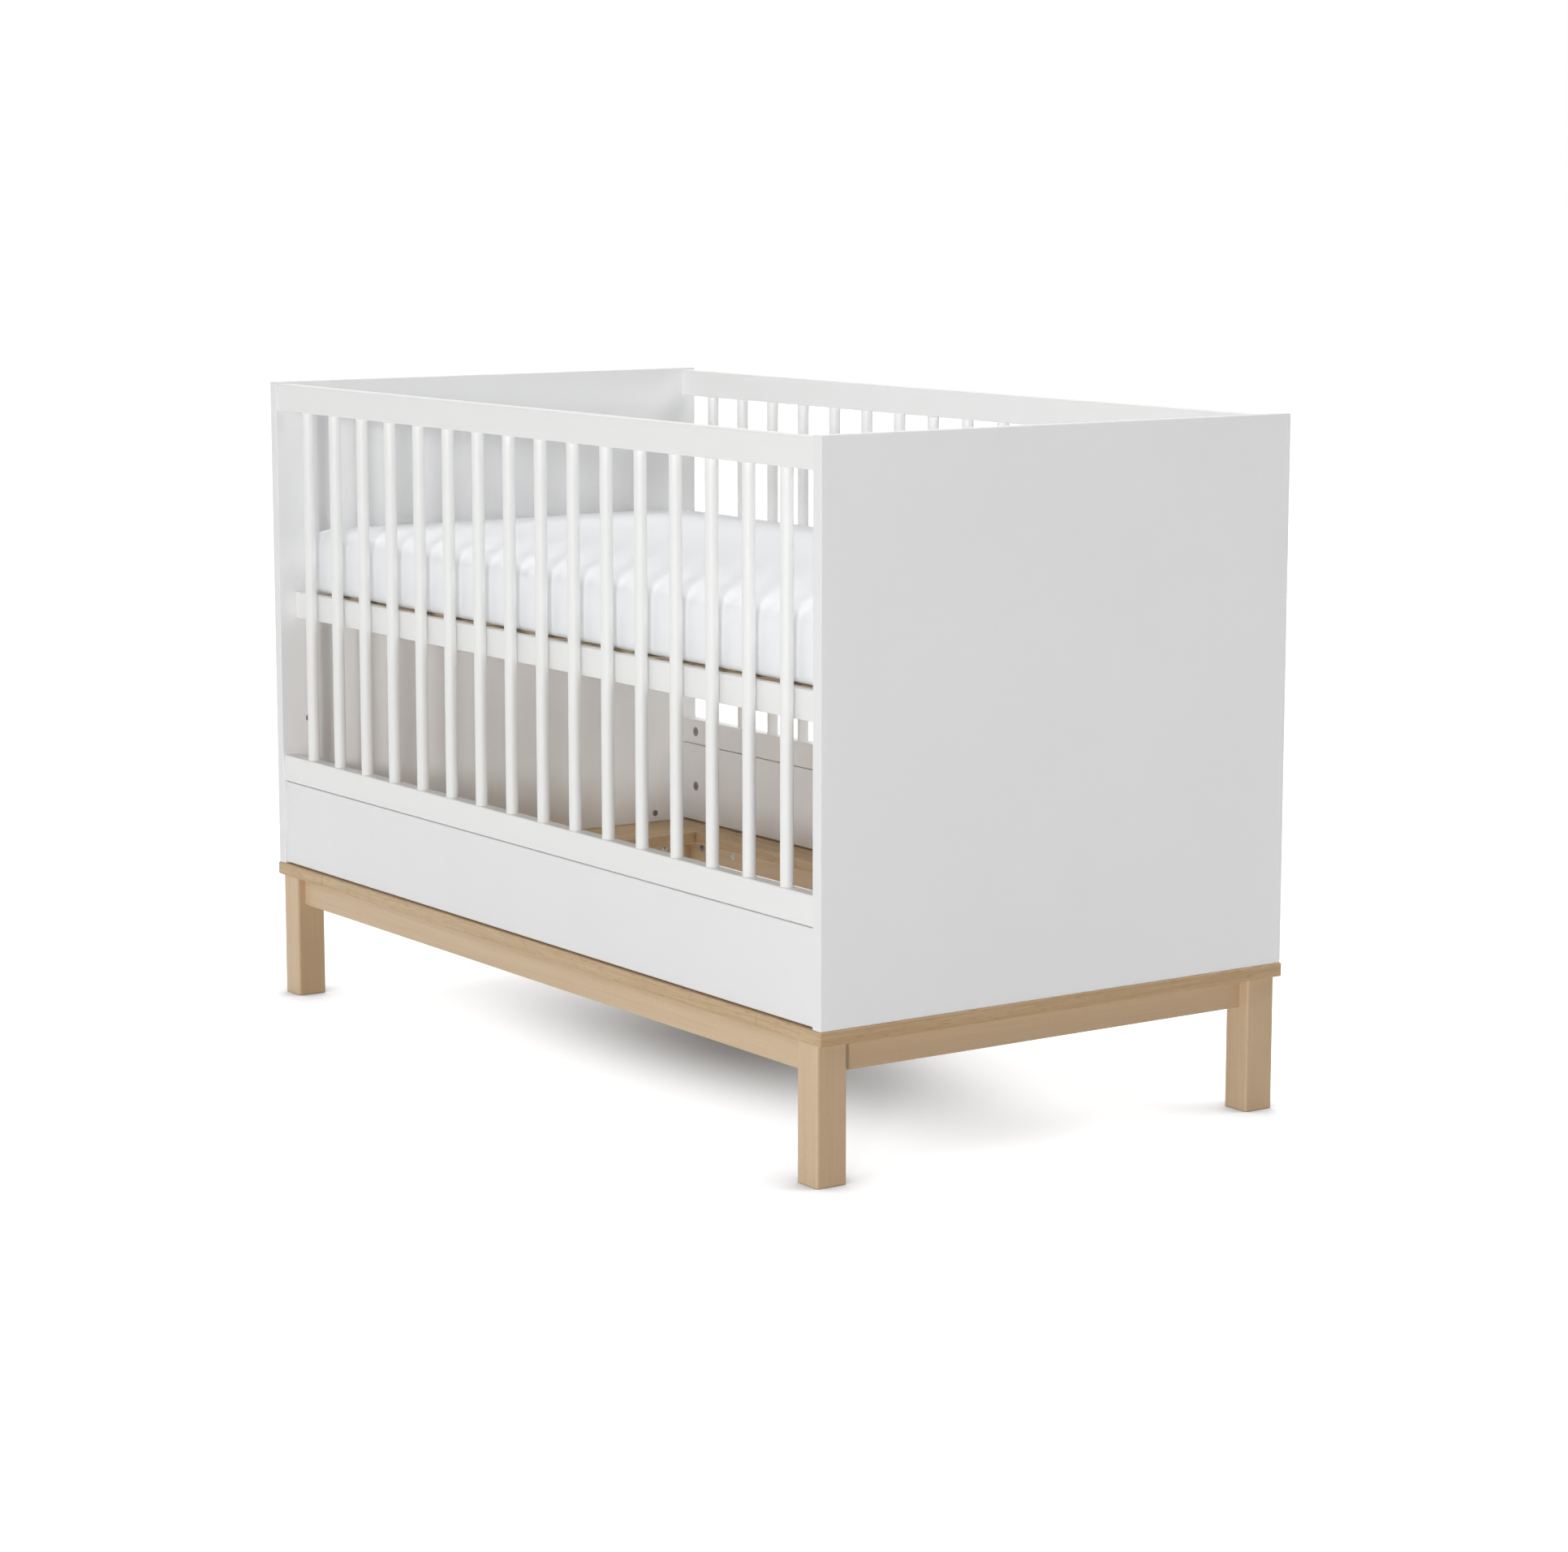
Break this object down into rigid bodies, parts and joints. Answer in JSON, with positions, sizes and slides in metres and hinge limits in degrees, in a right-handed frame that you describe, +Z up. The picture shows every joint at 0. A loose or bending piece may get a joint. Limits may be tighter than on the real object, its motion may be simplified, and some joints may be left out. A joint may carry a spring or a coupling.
{
  "type": "baby crib",
  "caption": "Free-standing cot bed with solid white end panels, spindled sides over a skirt, a wooden leg frame and a height-adjustable slatted mattress base with mattress.",
  "frame": {"origin": "on the floor under the middle of the cot", "axes": "+X along the length towards the right end, -Y towards the front side, +Z up"},
  "size_m": [1.44, 0.75, 0.93],
  "materials": {
    "white_panel": "satin",
    "white_lacquer": "satin",
    "beech": "satin",
    "oak_board": "satin",
    "raw_beech": "matte",
    "cast_zinc": "satin",
    "zinc_plated_steel": "satin",
    "mattress_cover": "matte"
  },
  "bodies": {
    "frame": {"apron_back": "beech", "apron_cam_pins": "zinc_plated_steel", "apron_cams": "cast_zinc", "apron_dowels": "raw_beech", "apron_front": "beech", "apron_left": "beech", "apron_right": "beech", "base_end_board_left": "oak_board", "base_end_board_right": "oak_board", "base_long_board_back": "oak_board", "base_long_board_front": "oak_board", "board_barrel_nuts": "zinc_plated_steel", "board_bolts": "zinc_plated_steel", "board_dowels": "raw_beech", "bottom_rail_back": "white_lacquer", "bottom_rail_front": "white_lacquer", "end_panel_left": "white_panel", "end_panel_right": "white_panel", "height_inserts": "zinc_plated_steel", "leg_back_left": "beech", "leg_back_right": "beech", "leg_bolts": "zinc_plated_steel", "leg_front_left": "beech", "leg_front_right": "beech", "panel_barrel_nuts": "zinc_plated_steel", "panel_bolts": "zinc_plated_steel", "side_cam_pins": "zinc_plated_steel", "side_cams": "cast_zinc", "skirt_panel_back": "white_panel", "skirt_panel_front": "white_panel", "spindles_back": "white_lacquer", "spindles_front": "white_lacquer", "top_rail_back": "white_lacquer", "top_rail_front": "white_lacquer"},
    "mattress_base": {"corner_screws": "zinc_plated_steel", "ledger_screws": "zinc_plated_steel", "mattress_base_end_rail_left": "white_lacquer", "mattress_base_end_rail_right": "white_lacquer", "mattress_base_ledger_back": "raw_beech", "mattress_base_ledger_front": "raw_beech", "mattress_base_side_rail_back": "white_lacquer", "mattress_base_side_rail_front": "white_lacquer", "slat_01": "raw_beech", "slat_02": "raw_beech", "slat_03": "raw_beech", "slat_04": "raw_beech", "slat_05": "raw_beech", "slat_06": "raw_beech", "slat_07": "raw_beech", "slat_08": "raw_beech", "slat_09": "raw_beech", "slat_10": "raw_beech", "slat_11": "raw_beech", "slat_screws": "zinc_plated_steel"},
    "mattress": {"mattress": "mattress_cover"},
    "height_bolt_back_left": {"height_bolt_back_left": "zinc_plated_steel"},
    "height_bolt_back_right": {"height_bolt_back_right": "zinc_plated_steel"},
    "height_bolt_front_left": {"height_bolt_front_left": "zinc_plated_steel"},
    "height_bolt_front_right": {"height_bolt_front_right": "zinc_plated_steel"}
  },
  "joints": [
    {"name": "base_height", "type": "slide", "parent": "frame", "child": "mattress_base", "axis": [0, 0, 1], "range_m": [-0.348, 0]},
    {"name": "mattress_lift", "type": "slide", "parent": "mattress_base", "child": "mattress", "axis": [0, 0, 1], "range_m": [0, 0.32]},
    {"name": "bolt_screw_back_left", "type": "slide", "parent": "mattress_base", "child": "height_bolt_back_left", "axis": [-1, 0, 0], "range_m": [0, 0.0125]},
    {"name": "bolt_screw_back_right", "type": "slide", "parent": "mattress_base", "child": "height_bolt_back_right", "axis": [1, 0, 0], "range_m": [0, 0.0125]},
    {"name": "bolt_screw_front_left", "type": "slide", "parent": "mattress_base", "child": "height_bolt_front_left", "axis": [-1, 0, 0], "range_m": [0, 0.0125]},
    {"name": "bolt_screw_front_right", "type": "slide", "parent": "mattress_base", "child": "height_bolt_front_right", "axis": [1, 0, 0], "range_m": [0, 0.0125]}
  ]
}
